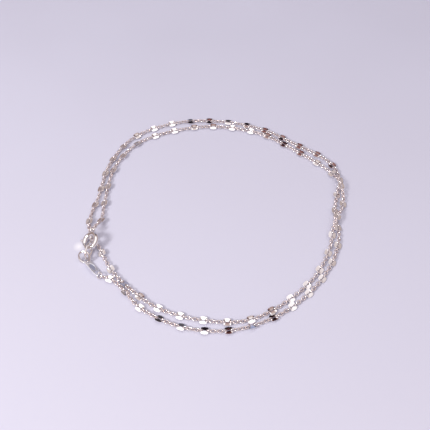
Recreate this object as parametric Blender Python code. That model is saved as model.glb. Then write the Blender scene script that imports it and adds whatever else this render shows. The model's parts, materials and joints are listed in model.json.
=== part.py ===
"""Link chain necklace of fine silver, clasped, lying in two turns.

Metres, +Z up. The necklace lies on Z = 0, with the origin below the middle of its box.
The chain is two tubes that meet end to end; the clasp's pieces have their real shape.
"""

import math

import bmesh
import bpy
from mathutils import Matrix, Vector

# The chain, as the tube that its links fill
CHAIN_ACROSS = 0.0012
CHAIN_JOIN_GAP = 0.00015
FIRST_TURN_POINTS = 36
SECOND_TURN_POINTS = 44
BEND_WEIGHT = 0.014

# Where the second turn passes over the first, and how
CROSSINGS = ((0.0339, -0.0027), (0.0363, 0.0105))
CROSSING_GAP = 0.00026
CROSSING_REACH = 0.0036

# The chain's chosen points from the end tag to the clasp's eye: x, y, height above lying flat
CHAIN_ROUTE = (
    (-0.0271, -0.0223, 0.00004),
    (-0.0230, -0.0266, 0.0),
    (-0.0196, -0.0304, 0.0),
    (-0.0085, -0.0359, 0.0),
    (0.0036, -0.0368, 0.0),
    (0.0146, -0.0332, 0.0),
    (0.0240, -0.0263, 0.0),
    (0.0308, -0.0174, 0.0),
    (0.0340, -0.0083, 0.0),
    (0.0338, 0.0001, 0.0),
    (0.0350, 0.0065, 0.0),
    (0.0366, 0.0129, 0.0),
    (0.0340, 0.0196, 0.0),
    (0.0235, 0.0274, 0.0),
    (0.0158, 0.0325, 0.0),
    (0.0041, 0.03625, 0.0),
    (-0.0114, 0.03628, 0.0),
    (-0.0253, 0.0298, 0.0),
    (-0.0319, 0.0188, 0.0),
    (-0.0339, 0.0069, 0.0),
    (-0.0356, -0.0045, 0.0),
    (-0.0318, -0.0121, 0.0),
    (-0.0279, -0.0191, 0.0),
    (-0.0227, -0.0246, 0.0),
    (-0.0149, -0.0305, 0.0),
    (-0.0032, -0.0340, 0.0),
    (0.0093, -0.0336, 0.0),
    (0.0245, -0.0230, 0.0),
    (0.0309, -0.0125, 0.0),
    (0.0328, -0.0051, 0.0),
    (0.0364, 0.0031, 0.0),
    (0.0367, 0.0078, 0.0),
    (0.0342, 0.0153, 0.0),
    (0.0297, 0.0198, 0.0),
    (0.0205, 0.0271, 0.0),
    (0.0150, 0.0308, 0.0),
    (0.0040, 0.0340, 0.0),
    (-0.0080, 0.0338, 0.0),
    (-0.0237, 0.0275, 0.0),
    (-0.0302, 0.0178, 0.0),
    (-0.0321, 0.0041, 0.00006),
    (-0.0323, -0.0022, 0.0003),
)
FIRST_TURN_ENDS_AT = 19
STEPS_IN_A_SPAN = 24

# Spring ring: a hollow ring with a mouth, a slot for the lever and a soldered eye
CLASP_ACROSS = 0.0055
CLASP_TUBE = 0.00135
CLASP_BORE = 0.0008
MOUTH_FROM = 202.0
MOUTH_SPAN = 36.0
NOSE_SEAT = 8.0
EYE_HOLE = 0.0008
EYE_WIRE = 0.00044
EYE_SINK = 0.0002

# Bolt: the sprung wire that closes the mouth, with its lever's pin and knob
BOLT_WIRE = 0.0006
LEVER_AT = 172.0
TAIL_SPAN = 50.0
PIN_ACROSS = 0.0004
KNOB_ACROSS = 0.00074
KNOB_CLEARANCE = 0.00006
TURN_CLEARANCE = 2.0

# Rings between the clasp and the chain's ends
CONNECTING_LONG = 0.00554
CONNECTING_WIDE = 0.00398
CONNECTING_WIRE = 0.00054
JUMP_ACROSS = 0.0037
JUMP_WIRE = 0.0006
TAG_LINK_ACROSS = 0.00191
TAG_LINK_WIRE = 0.00035
EYE_LINK_ACROSS = 0.002
EYE_LINK_WIRE = 0.0004
LINK_PLAY = 0.00013

# End tag: an oval plate with a raised rim on both faces and a hole at each end
TAG_LONG = 0.00636
TAG_WIDE = 0.0021
TAG_THICK = 0.0003
TAG_RIM = 0.0002
TAG_RECESS = 0.00005
TAG_HOLE = 0.00124
TAG_HOLE_EDGE = 0.00006

# How each piece lies: degrees of tilt, the way it leans, and the height of its lowest point
CLASP_AT = (-0.0344, -0.01045)
CLASP_TILT = 33.3
CLASP_LEANS_TO = 195.4
CLASP_EYE_HEADING = 84.0
CLASP_LOWEST = 0.0001
CONNECTING_TILT = 81.5
CONNECTING_LEANS_TO = -13.2
CONNECTING_LOWEST = 0.0001
JUMP_TILT = 54.0
JUMP_LEANS_TO = 255.0
FLOOR_CLEARANCE = 0.00002

# How far each ring hangs from the one before it: heading in degrees, and the slack
CONNECTING_HEADING = -89.3
CONNECTING_SLACK = 0.00051
JUMP_HEADING = -120.8
JUMP_SLACK = 0.0013
TAG_FROM_JUMP_HEADING = -49.1
TAG_FROM_JUMP_DROP = 34.8
TAG_SLACK = 0.00005
TAG_HEADING = -49.6
TAG_ROLL = 25.7

# Fineness of the round shapes
DEGREES_A_STATION = 7.0
TUBE_SIDES = 13
RING_STATIONS = 44
RING_SIDES = 12
OUTLINE_ARC_POINTS = 14
HOLE_POINTS = 20

CHAIN_SILVER = ("chain_silver", (0.86, 0.84, 0.83), 0.22)
CLASP_SILVER = ("clasp_silver", (0.90, 0.88, 0.87), 0.12)
BOLT_SILVER = ("bolt_silver", (0.84, 0.82, 0.82), 0.18)
RING_SILVER = ("ring_silver", (0.88, 0.86, 0.85), 0.14)
TAG_SILVER = ("tag_silver", (0.90, 0.89, 0.91), 0.10)


def clear_scene():
    for obj in list(bpy.data.objects):
        bpy.data.objects.remove(obj, do_unlink=True)


def silver(finish):
    name, colour, roughness = finish
    material = bpy.data.materials.get(name) or bpy.data.materials.new(name)
    material.use_nodes = True
    shader = material.node_tree.nodes["Principled BSDF"]
    shader.inputs["Base Color"].default_value = (*colour, 1.0)
    shader.inputs["Metallic"].default_value = 1.0
    shader.inputs["Roughness"].default_value = roughness
    return material


def new_object(name, data, finish, place=None):
    """An object with one finish, put at its place by its location and rotation."""
    obj = bpy.data.objects.new(name, data)
    bpy.context.scene.collection.objects.link(obj)
    data.materials.append(silver(finish))
    if place:
        obj.location = place.to_translation()
        obj.rotation_euler = place.to_euler()
    return obj


def mesh_from(name, bm):
    """The mesh of a closed shape, smooth where its faces meet at a shallow angle."""
    bmesh.ops.recalc_face_normals(bm, faces=bm.faces)
    mesh = bpy.data.meshes.new(name)
    bm.to_mesh(mesh)
    bm.free()
    mesh.shade_smooth()
    mesh.set_sharp_from_angle(angle=math.radians(40))
    return mesh


def join_on(obj, helper_bm, name):
    """Solders a helper shape, given in the object's own space, onto the object."""
    helper = new_object(name, mesh_from(name, helper_bm), RING_SILVER, obj.matrix_basis)
    helper.hide_render = True
    helper.display_type = "WIRE"
    solder = obj.modifiers.new("solder", "BOOLEAN")
    solder.operation = "UNION"
    solder.solver = "EXACT"
    solder.object = helper
    return helper


def place_of(centre, x_axis, y_axis, z_axis):
    turn = Matrix((x_axis, y_axis, z_axis)).transposed()
    return Matrix.Translation(centre) @ turn.to_4x4()


def lean(tilt, leans_to, heading=None):
    """Axes of a flat ring: z its normal, y in its plane over the heading, x across."""
    tilt = math.radians(tilt)
    leans_to = math.radians(leans_to)
    flat = Vector((math.cos(leans_to), math.sin(leans_to), 0.0))
    normal = flat * math.sin(tilt) + Vector((0.0, 0.0, math.cos(tilt)))
    over = leans_to if heading is None else math.radians(heading)
    along = Vector((math.cos(over), math.sin(over), 0.0))
    along.z = -along.dot(normal) / normal.z
    along.normalize()
    return along.cross(normal), along, normal


def step_over(start, heading, distance, height):
    """A point that far from the start over the floor, at its own height."""
    turn = math.radians(heading)
    return Vector(
        (
            start.x + distance * math.cos(turn),
            start.y + distance * math.sin(turn),
            height,
        )
    )


def resting_height(radius, wire, tilt, lowest=FLOOR_CLEARANCE):
    """Height of a tilted ring's centre, from its lowest point."""
    return lowest + radius * math.sin(math.radians(tilt)) + wire / 2


def wire_along(bm, points, thick, sides=RING_SIDES, closed=True):
    """Round wire along a path in the local XY plane, with flat ends if it is open."""
    count = len(points)
    rings = []
    for i, point in enumerate(points):
        before = points[i - 1] if closed or i > 0 else point
        after = points[(i + 1) % count] if closed or i + 1 < count else point
        out = (after - before).cross(Vector((0, 0, 1))).normalized()
        rings.append(
            [
                bm.verts.new(
                    point
                    + out * (thick / 2 * math.cos(math.tau * k / sides))
                    + Vector((0, 0, thick / 2 * math.sin(math.tau * k / sides)))
                )
                for k in range(sides)
            ]
        )
    for i in range(count if closed else count - 1):
        here = rings[i]
        there = rings[(i + 1) % count]
        for k in range(sides):
            m = (k + 1) % sides
            bm.faces.new((here[k], here[m], there[m], there[k]))
    if not closed:
        bm.faces.new(rings[0])
        bm.faces.new(rings[-1])


def on_circle(radius, degrees):
    turn = math.radians(degrees)
    return Vector((radius * math.cos(turn), radius * math.sin(turn), 0.0))


def closed_ring(name, finish, place, long, wide, wire):
    """A closed oval or round ring of round wire; long runs along its local X."""
    bm = bmesh.new()
    a = (long - wire) / 2
    b = (wide - wire) / 2
    turns = [math.tau * i / RING_STATIONS for i in range(RING_STATIONS)]
    points = [Vector((a * math.cos(t), b * math.sin(t), 0.0)) for t in turns]
    wire_along(bm, points, wire)
    return new_object(name, mesh_from(name, bm), finish, place)


def clasp_radius():
    return (CLASP_ACROSS - CLASP_TUBE) / 2


def lever_travel():
    """Degrees that the lever draws the bolt back, until the mouth is open."""
    return MOUTH_SPAN + NOSE_SEAT + TURN_CLEARANCE


def pin_half_angle():
    return math.degrees(math.asin(PIN_ACROSS / 2 / clasp_radius())) + TURN_CLEARANCE


def eye_centre():
    """The eye's centre in the spring ring's own space."""
    eye_outer = EYE_HOLE / 2 + EYE_WIRE
    return Vector((0.0, CLASP_ACROSS / 2 + eye_outer - EYE_SINK, 0.0))


def stations_between(marks):
    """Angles from the first mark to the last that touch every mark."""
    angles = [marks[0]]
    for low, high in zip(marks, marks[1:]):
        steps = max(1, math.ceil((high - low) / DEGREES_A_STATION))
        angles += [low + (high - low) * (i + 1) / steps for i in range(steps)]
    return angles


def spring_ring(place):
    """The hollow ring: wall cells round a bore that is filled where no bolt runs."""
    mouth_to = MOUTH_FROM + MOUTH_SPAN
    seat_end = mouth_to + NOSE_SEAT + TURN_CLEARANCE
    tail_end = LEVER_AT - TAIL_SPAN - lever_travel() - TURN_CLEARANCE + 360
    slot_from = LEVER_AT - lever_travel() - pin_half_angle() + 360
    slot_to = LEVER_AT + pin_half_angle() + 360
    angles = stations_between(
        (mouth_to, seat_end, tail_end, slot_from, slot_to, MOUTH_FROM + 360)
    )
    bm = bmesh.new()
    points = {}

    def corner(radius, i, k):
        key = (radius, i, k % TUBE_SIDES)
        if key not in points:
            # The middle cell of the slot looks straight outwards
            turn = math.tau * (k + 0.5) / TUBE_SIDES
            out = clasp_radius() + radius * math.cos(turn)
            spot = on_circle(out, angles[i])
            spot.z = radius * math.sin(turn)
            points[key] = bm.verts.new(spot)
        return points[key]

    def middle(i):
        return (angles[i] + angles[i + 1]) / 2

    def filled(i):
        return 0 <= i < len(angles) - 1 and seat_end < middle(i) < tail_end

    def walled(i, k):
        if not 0 <= i < len(angles) - 1:
            return False
        in_slot = (k % TUBE_SIDES) in (TUBE_SIDES - 2, TUBE_SIDES - 1, 0)
        return not (in_slot and slot_from < middle(i) < slot_to)

    outer = CLASP_TUBE / 2
    bore = CLASP_BORE / 2
    for i in range(len(angles) - 1):
        for k in range(TUBE_SIDES):
            if not walled(i, k):
                continue
            shells = (outer,) if filled(i) else (outer, bore)
            for radius in shells:
                loop = (
                    corner(radius, i, k),
                    corner(radius, i, k + 1),
                    corner(radius, i + 1, k + 1),
                    corner(radius, i + 1, k),
                )
                bm.faces.new(loop)
            for side, edge in ((k - 1, k), (k + 1, k + 1)):
                if not walled(i, side):
                    bm.faces.new(
                        (
                            corner(outer, i, edge),
                            corner(outer, i + 1, edge),
                            corner(bore, i + 1, edge),
                            corner(bore, i, edge),
                        )
                    )
            for beyond, end in ((i - 1, i), (i + 1, i + 1)):
                if not walled(beyond, k):
                    bm.faces.new(
                        (
                            corner(outer, end, k),
                            corner(outer, end, k + 1),
                            corner(bore, end, k + 1),
                            corner(bore, end, k),
                        )
                    )
        if filled(i):
            for beyond, end in ((i - 1, i), (i + 1, i + 1)):
                if not filled(beyond):
                    bm.faces.new([corner(bore, end, k) for k in range(TUBE_SIDES)])
    ring = new_object("spring_ring", mesh_from("spring_ring", bm), CLASP_SILVER, place)

    eye = bmesh.new()
    radius = (EYE_HOLE + EYE_WIRE) / 2
    turns = [360 * i / RING_STATIONS for i in range(RING_STATIONS)]
    wire_along(eye, [on_circle(radius, turn) for turn in turns], EYE_WIRE)
    stand = Matrix.Rotation(math.radians(90), 4, "Y")
    eye.transform(Matrix.Translation(eye_centre()) @ stand)
    join_on(ring, eye, "eye_to_solder")
    return ring


def clasp_bolt(place):
    """The bolt's wire from its tail to its nose, with the pin and knob of its lever."""
    radius = clasp_radius()
    nose = MOUTH_FROM + MOUTH_SPAN + NOSE_SEAT
    bm = bmesh.new()
    angles = stations_between((LEVER_AT - TAIL_SPAN, nose))
    wire_along(bm, [on_circle(radius, a) for a in angles], BOLT_WIRE, closed=False)
    bolt = new_object("clasp_bolt", mesh_from("clasp_bolt", bm), BOLT_SILVER, place)

    knob_out = CLASP_ACROSS / 2 + KNOB_CLEARANCE + KNOB_ACROSS / 2
    pin = bmesh.new()
    bmesh.ops.create_cone(
        pin,
        cap_ends=True,
        segments=RING_SIDES,
        radius1=PIN_ACROSS / 2,
        radius2=PIN_ACROSS / 2,
        depth=knob_out - radius,
    )
    pin.transform(Matrix.Rotation(math.radians(90), 4, "Y"))
    pin.transform(Matrix.Translation(Vector(((knob_out + radius) / 2, 0.0, 0.0))))
    pin.transform(Matrix.Rotation(math.radians(LEVER_AT), 4, "Z"))
    join_on(bolt, pin, "pin_to_solder")

    knob = bmesh.new()
    bmesh.ops.create_uvsphere(
        knob, u_segments=16, v_segments=10, radius=KNOB_ACROSS / 2
    )
    knob.transform(Matrix.Translation(on_circle(knob_out, LEVER_AT)))
    join_on(bolt, knob, "knob_to_solder")
    return bolt


def tag_outline(long, wide):
    """A plate's outline: two straight sides and two round ends, as a list of x and y."""
    radius = wide / 2
    middle = long / 2 - radius
    outline = []
    for end in (1, -1):
        for i in range(OUTLINE_ARC_POINTS):
            turn = math.pi * (i / (OUTLINE_ARC_POINTS - 1) - 0.5)
            outline.append(
                (
                    end * (middle + radius * math.cos(turn)),
                    end * radius * math.sin(turn),
                )
            )
    return outline


def tag_holes_apart():
    """Between the holes' middles, each hole just inside the rim at its end."""
    return TAG_LONG - 2 * (TAG_RIM + TAG_HOLE_EDGE) - TAG_HOLE


def end_tag(place):
    """The blank plate, recessed inside its rim on both faces, with its two holes."""
    bm = bmesh.new()

    def ring_of(outline, height):
        return [bm.verts.new((x, y, height)) for x, y in outline]

    def bridge(first, second):
        for i in range(len(first)):
            j = (i + 1) % len(first)
            bm.faces.new((first[i], first[j], second[j], second[i]))

    outside = tag_outline(TAG_LONG, TAG_WIDE)
    inside = tag_outline(TAG_LONG - 2 * TAG_RIM, TAG_WIDE - 2 * TAG_RIM)
    turns = [360 * i / HOLE_POINTS for i in range(HOLE_POINTS)]
    holes = []
    for side in (-1, 1):
        middle = Vector((side * tag_holes_apart() / 2, 0.0, 0.0))
        spots = [middle + on_circle(TAG_HOLE / 2, turn) for turn in turns]
        holes.append([(spot.x, spot.y) for spot in spots])
    rims = []
    floors = []
    for face in (-1, 1):
        top = face * TAG_THICK / 2
        floor = face * (TAG_THICK / 2 - TAG_RECESS)
        rim = ring_of(outside, top)
        inner = ring_of(inside, top)
        low = ring_of(inside, floor)
        mouths = [ring_of(hole, floor) for hole in holes]
        bridge(rim, inner)
        bridge(inner, low)
        edges = []
        for loop in (low, *mouths):
            for i in range(len(loop)):
                pair = (loop[i], loop[(i + 1) % len(loop)])
                edges.append(bm.edges.get(pair) or bm.edges.new(pair))
        bmesh.ops.triangle_fill(bm, use_beauty=True, edges=edges)
        rims.append(rim)
        floors.append(mouths)
    bridge(*rims)
    for lower, upper in zip(*floors):
        bridge(lower, upper)
    return new_object("end_tag", mesh_from("end_tag", bm), TAG_SILVER, place)


def smooth_curve(points):
    """Centripetal spline through every point, as closely spaced points."""
    ends = [2 * points[0] - points[1]], [2 * points[-1] - points[-2]]
    through = ends[0] + points + ends[1]
    curve = []
    for a, b, c, d in zip(through, through[1:], through[2:], through[3:]):
        ta = 0.0
        tb = ta + math.sqrt((b - a).length)
        tc = tb + math.sqrt((c - b).length)
        td = tc + math.sqrt((d - c).length)
        for step in range(STEPS_IN_A_SPAN):
            t = tb + (tc - tb) * step / STEPS_IN_A_SPAN
            ab = a.lerp(b, (t - ta) / (tb - ta))
            bc = b.lerp(c, (t - tb) / (tc - tb))
            cd = c.lerp(d, (t - tc) / (td - tc))
            abc = ab.lerp(bc, (t - ta) / (tc - ta))
            bcd = bc.lerp(cd, (t - tb) / (td - tb))
            curve.append(abc.lerp(bcd, (t - tb) / (tc - tb)))
    return curve + [points[-1]]


def lying_height():
    return CHAIN_ACROSS / 2 + FLOOR_CLEARANCE


def turn_end():
    """Where the curve's first turn ends, with one span more for the chain's start."""
    return (FIRST_TURN_ENDS_AT + 1) * STEPS_IN_A_SPAN


def chain_curve(first_end, last_end):
    """The whole chain's middle line, from ring to ring, with its humps at the crossings."""
    lying = [Vector((x, y, lying_height() + up)) for x, y, up in CHAIN_ROUTE]
    start = beyond_ring(*first_end, lying[0])
    finish = beyond_ring(*last_end, lying[-1])
    curve = smooth_curve([start] + lying + [finish])
    for point in curve[turn_end() :]:
        away = min(math.dist(point.xy, crossing) for crossing in CROSSINGS)
        hump = math.exp(-((away / CROSSING_REACH) ** 2))
        point.z += (CHAIN_ACROSS + CROSSING_GAP) * hump
    return curve


def beyond_ring(centre, across, toward):
    """Where a chain's end meets a ring that it leads to."""
    pull = (toward - centre).normalized()
    return centre + pull * (across / 2 + CHAIN_JOIN_GAP)


def thinned(curve, count):
    """That many of the curve's points, closer together where it bends."""
    weight = [0.0]
    for i in range(1, len(curve)):
        step = (curve[i] - curve[i - 1]).length
        bend = 0.0
        if i + 1 < len(curve):
            bend = (curve[i + 1] - curve[i]).angle(curve[i] - curve[i - 1])
        weight.append(weight[-1] + step + BEND_WEIGHT * bend)
    chosen = []
    at = 0
    for i in range(count):
        wanted = weight[-1] * i / (count - 1)
        while at + 1 < len(curve) and weight[at] < wanted - 1e-12:
            at += 1
        chosen.append(curve[at])
    return chosen


def chain_tube(name, curve, count):
    data = bpy.data.curves.new(name, "CURVE")
    data.dimensions = "3D"
    data.bevel_depth = CHAIN_ACROSS / 2
    data.bevel_resolution = 2
    data.use_fill_caps = True
    points = thinned(curve, count)
    spline = data.splines.new("POLY")
    spline.points.add(len(points) - 1)
    for slot, point in zip(spline.points, points):
        slot.co = (*point, 1.0)
    return new_object(name, data, CHAIN_SILVER)


def chain(first_end, last_end):
    """The two turns of the chain, which meet end to end on the loop's left side."""
    curve = chain_curve(first_end, last_end)
    first = curve[: turn_end()]
    second = curve[turn_end() :]
    second[0] = first[-1] + (second[0] - first[-1]).normalized() * CHAIN_JOIN_GAP
    chain_tube("chain_first_turn", first, FIRST_TURN_POINTS)
    chain_tube("chain_second_turn", second, SECOND_TURN_POINTS)


def build():
    clear_scene()

    axes = lean(CLASP_TILT, CLASP_LEANS_TO, CLASP_EYE_HEADING)
    height = resting_height(clasp_radius(), CLASP_TUBE, CLASP_TILT, CLASP_LOWEST)
    clasp = Vector((*CLASP_AT, height))
    clasp_place = place_of(clasp, *axes)
    spring_ring(clasp_place)
    clasp_bolt(clasp_place)

    reach = clasp_radius() - CLASP_TUBE / 2 + CONNECTING_LONG / 2 - CONNECTING_WIRE
    height = resting_height(
        (CONNECTING_WIDE - CONNECTING_WIRE) / 2,
        CONNECTING_WIRE,
        CONNECTING_TILT,
        CONNECTING_LOWEST,
    )
    connecting = step_over(clasp, CONNECTING_HEADING, reach - CONNECTING_SLACK, height)
    closed_ring(
        "connecting_ring",
        RING_SILVER,
        place_of(connecting, *lean(CONNECTING_TILT, CONNECTING_LEANS_TO)),
        CONNECTING_LONG,
        CONNECTING_WIDE,
        CONNECTING_WIRE,
    )

    jump_radius = (JUMP_ACROSS - JUMP_WIRE) / 2
    reach = CONNECTING_LONG / 2 - CONNECTING_WIRE + jump_radius - JUMP_WIRE / 2
    height = resting_height(jump_radius, JUMP_WIRE, JUMP_TILT)
    jump = step_over(connecting, JUMP_HEADING, reach - JUMP_SLACK, height)
    closed_ring(
        "jump_ring",
        RING_SILVER,
        place_of(jump, *lean(JUMP_TILT, JUMP_LEANS_TO)),
        JUMP_ACROSS,
        JUMP_ACROSS,
        JUMP_WIRE,
    )

    drop = math.radians(TAG_FROM_JUMP_DROP)
    reach = jump_radius - TAG_SLACK
    near_hole = step_over(
        jump,
        TAG_FROM_JUMP_HEADING,
        reach * math.cos(drop),
        jump.z - reach * math.sin(drop),
    )
    along = step_over(Vector(), TAG_HEADING, 1.0, 0.0)
    roll = Matrix.Rotation(-math.radians(TAG_ROLL), 3, along)
    side = roll @ Vector((0, 0, 1)).cross(along)
    tag = near_hole + along * tag_holes_apart() / 2
    end_tag(place_of(tag, along, side, along.cross(side)))

    link_radius = (TAG_LINK_ACROSS - TAG_LINK_WIRE) / 2
    far_hole = near_hole + along * tag_holes_apart()
    reach = link_radius + (TAG_HOLE - TAG_LINK_WIRE) / 2 - LINK_PLAY
    tag_link = far_hole + along * reach
    rise = (tag_link.z - FLOOR_CLEARANCE - TAG_LINK_WIRE / 2) / link_radius
    link_tilt = math.degrees(math.asin(min(1.0, rise)))
    closed_ring(
        "tag_link",
        RING_SILVER,
        place_of(tag_link, *lean(link_tilt, TAG_HEADING - 90)),
        TAG_LINK_ACROSS,
        TAG_LINK_ACROSS,
        TAG_LINK_WIRE,
    )

    eye = clasp_place @ eye_centre()
    last = CHAIN_ROUTE[-1]
    toward = Vector((last[0], last[1], lying_height() + last[2]))
    pull = (toward - eye).normalized()
    reach = EYE_LINK_ACROSS / 2 + EYE_HOLE / 2 - EYE_LINK_WIRE - LINK_PLAY / 2
    eye_link = eye + pull * reach
    across = axes[0] - pull * axes[0].dot(pull)
    across.normalize()
    closed_ring(
        "eye_link",
        RING_SILVER,
        place_of(eye_link, across, pull, across.cross(pull)),
        EYE_LINK_ACROSS,
        EYE_LINK_ACROSS,
        EYE_LINK_WIRE,
    )

    chain((tag_link, TAG_LINK_ACROSS), (eye_link, EYE_LINK_ACROSS))


build()
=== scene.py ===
"""The looks of a fine silver necklace: a chain of small links with pairs of mirror petals.

It lies clasped in two turns on a pale table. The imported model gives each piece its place,
and every piece here stands for the plain solid of the same place. Metres and degrees.
"""

import json
import math
import random

import bmesh
import bpy
import numpy as np
from mathutils import Matrix, Vector

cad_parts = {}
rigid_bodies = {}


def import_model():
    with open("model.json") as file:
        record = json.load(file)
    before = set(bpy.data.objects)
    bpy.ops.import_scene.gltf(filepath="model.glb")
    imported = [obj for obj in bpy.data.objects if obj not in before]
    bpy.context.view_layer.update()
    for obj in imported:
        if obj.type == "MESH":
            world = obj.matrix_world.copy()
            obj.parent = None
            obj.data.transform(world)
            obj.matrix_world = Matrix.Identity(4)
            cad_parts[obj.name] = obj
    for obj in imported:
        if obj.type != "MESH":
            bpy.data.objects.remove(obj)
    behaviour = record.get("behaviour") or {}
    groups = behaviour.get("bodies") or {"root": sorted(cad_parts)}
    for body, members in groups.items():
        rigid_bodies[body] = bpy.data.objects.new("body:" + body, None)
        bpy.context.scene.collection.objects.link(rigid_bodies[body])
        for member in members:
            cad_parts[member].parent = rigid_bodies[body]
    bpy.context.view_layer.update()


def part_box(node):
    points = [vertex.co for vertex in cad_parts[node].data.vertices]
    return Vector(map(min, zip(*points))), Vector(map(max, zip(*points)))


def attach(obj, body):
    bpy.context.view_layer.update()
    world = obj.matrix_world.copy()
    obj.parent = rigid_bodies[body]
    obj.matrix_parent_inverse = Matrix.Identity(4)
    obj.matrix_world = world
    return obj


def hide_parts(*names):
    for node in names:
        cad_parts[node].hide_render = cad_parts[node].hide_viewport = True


MM = 0.001
# Edges sharper than this many degrees aren't shaded smooth
SHARP_EDGE = 40.0

# The chain as the part has it; its second turn rises over the first one at the crossings
CHAIN_ACROSS = 0.0012
CHAIN_JOIN_GAP = 0.00015
FLOOR_CLEARANCE = 0.00002
CROSSINGS = ((0.0339, -0.0027), (0.0363, 0.0105))
CROSSING_GAP = 0.00026
CROSSING_REACH = 0.0036
# What its middle line runs through: x, y, height above lying flat
CHAIN_ROUTE = (
    (-0.0271, -0.0223, 0.00004),
    (-0.0230, -0.0266, 0.0),
    (-0.0196, -0.0304, 0.0),
    (-0.0085, -0.0359, 0.0),
    (0.0036, -0.0368, 0.0),
    (0.0146, -0.0332, 0.0),
    (0.0240, -0.0263, 0.0),
    (0.0308, -0.0174, 0.0),
    (0.0340, -0.0083, 0.0),
    (0.0338, 0.0001, 0.0),
    (0.0350, 0.0065, 0.0),
    (0.0366, 0.0129, 0.0),
    (0.0340, 0.0196, 0.0),
    (0.0235, 0.0274, 0.0),
    (0.0158, 0.0325, 0.0),
    (0.0041, 0.03625, 0.0),
    (-0.0114, 0.03628, 0.0),
    (-0.0253, 0.0298, 0.0),
    (-0.0319, 0.0188, 0.0),
    (-0.0339, 0.0069, 0.0),
    (-0.0356, -0.0045, 0.0),
    (-0.0318, -0.0121, 0.0),
    (-0.0279, -0.0191, 0.0),
    (-0.0227, -0.0246, 0.0),
    (-0.0149, -0.0305, 0.0),
    (-0.0032, -0.0340, 0.0),
    (0.0093, -0.0336, 0.0),
    (0.0245, -0.0230, 0.0),
    (0.0309, -0.0125, 0.0),
    (0.0328, -0.0051, 0.0),
    (0.0364, 0.0031, 0.0),
    (0.0367, 0.0078, 0.0),
    (0.0342, 0.0153, 0.0),
    (0.0297, 0.0198, 0.0),
    (0.0205, 0.0271, 0.0),
    (0.0150, 0.0308, 0.0),
    (0.0040, 0.0340, 0.0),
    (-0.0080, 0.0338, 0.0),
    (-0.0237, 0.0275, 0.0),
    (-0.0302, 0.0178, 0.0),
    (-0.0321, 0.0041, 0.00006),
    (-0.0323, -0.0022, 0.0003),
)
# The first turn's last point in the list above, and the curve's steps from point to point
FIRST_TURN_ENDS_AT = 19
STEPS_IN_A_SPAN = 24

# One round of the chain: a petal link and five small links of round wire
LINK_WIRE = 0.00029
LINK_LONG = 0.00158
LINK_WIDE = 0.0012
LINK_STATIONS = 12
LINK_WIRE_SIDES = 6
LINK_PITCH = 0.000953
PETAL_PITCH = 0.001174
SMALL_LINKS_BETWEEN = 5
PETAL_ROUNDS = 72
# Small links before the first petal link and after the last one
SMALL_LINKS_BEFORE = 2
SMALL_LINKS_AFTER = 3

# Petal link: an oval of wire pressed flat at its two long sides. A quarter of it, from the
# end to the middle of a side: x and y of the wire's middle, and half its width there
PETAL_QUARTER = (
    (0.00087, 0.0, 0.00014),
    (0.00086, 0.00014, 0.00014),
    (0.00083, 0.00028, 0.00015),
    (0.00079, 0.00041, 0.00021),
    (0.00073, 0.00053, 0.00034),
    (0.00060, 0.00059, 0.00041),
    (0.00036, 0.00060, 0.00042),
    (0.00020, 0.000585, 0.00048),
)
# Half width of a side that is pressed right out, and how much sooner than that it is flat
PETAL_HALF_WIDE = 0.00049
PETAL_FLAT_SOONER = 1.6
PETAL_THICK = 0.00014
PETAL_EDGE_THINS_BY = 0.12
PETAL_WIRE_SIDES = 12
PETAL_SHARP_EDGE = 35.0
# Degrees that petals are folded, about a line this far from the link's middle
PETAL_FOLDS = (-2.0, 0.0, 3.0, 6.0, 9.0)
PETAL_FOLD_LINE = 0.00058

# Metres along the chain at which some petal links lie, by their number from the end tag
PETALS_LIE_AT = (
    (0, 0.00200),
    (2, 0.01415),
    (8, 0.05045),
    (18, 0.1102),
    (22, 0.1349),
    (26, 0.1589),
    (41, 0.24835),
    (45, 0.27275),
    (59, 0.3580),
    (60, 0.36345),
    (63, 0.38145),
    (71, 0.43224),
)

# Lean of each petal link that shows well: number, degrees that it leans back, its fold
PETALS_LEAN = (
    (0, 0.0, 0.0),
    (1, 34.0, 0.0),
    (2, -1.0, 0.0),
    (3, 19.0, 0.0),
    (4, 10.0, 9.0),
    (5, 6.0, 6.0),
    (6, 8.2, 0.0),
    (7, 24.0, 0.0),
    (8, 10.5, 0.0),
    (18, -1.5, -2.0),
    (19, -3.0, 0.0),
    (20, -2.6, 0.0),
    (21, -1.5, -2.0),
    (22, -2.6, 0.0),
    (23, -1.0, 3.0),
    (24, 0.0, 6.0),
    (25, -0.4, -2.0),
    (26, 6.7, 3.0),
    (27, -9.0, 0.0),
    (28, -9.0, 0.0),
    (29, -8.0, 0.0),
    (39, 33.0, 0.0),
    (40, 4.6, 0.0),
    (41, -2.0, 0.0),
    (42, -1.0, 0.0),
    (43, -2.0, 0.0),
    (44, 2.5, -2.0),
    (45, 0.0, 3.0),
    (46, 5.0, 0.0),
    (55, -30.0, 0.0),
    (56, -6.0, 0.0),
    (57, -2.4, 0.0),
    (58, 0.0, 0.0),
    (59, -4.0, 0.0),
    (60, -9.0, 0.0),
    (61, -8.0, 0.0),
    (62, -7.0, 3.0),
    (63, -4.8, 0.0),
    (64, -8.0, 0.0),
    (65, -8.0, 0.0),
    (66, 17.0, 0.0),
)
# The other petal links all lean to one side, so that neighbours lie like roof tiles
SIDE_LEAN = (17.0, 24.0)
SIDE_FOLDS = (-2.0, 0.0, 3.0)
# Degrees that a small link is turned by chance, at most
LINK_TURN_JITTER = 7.0
LINK_SEED = 3
PETAL_SEED = 5
# Links over which the turn and the lift that seat an end link in its ring die away
END_TURN_FADE = 2
END_LIFT_FADE = 5

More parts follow.
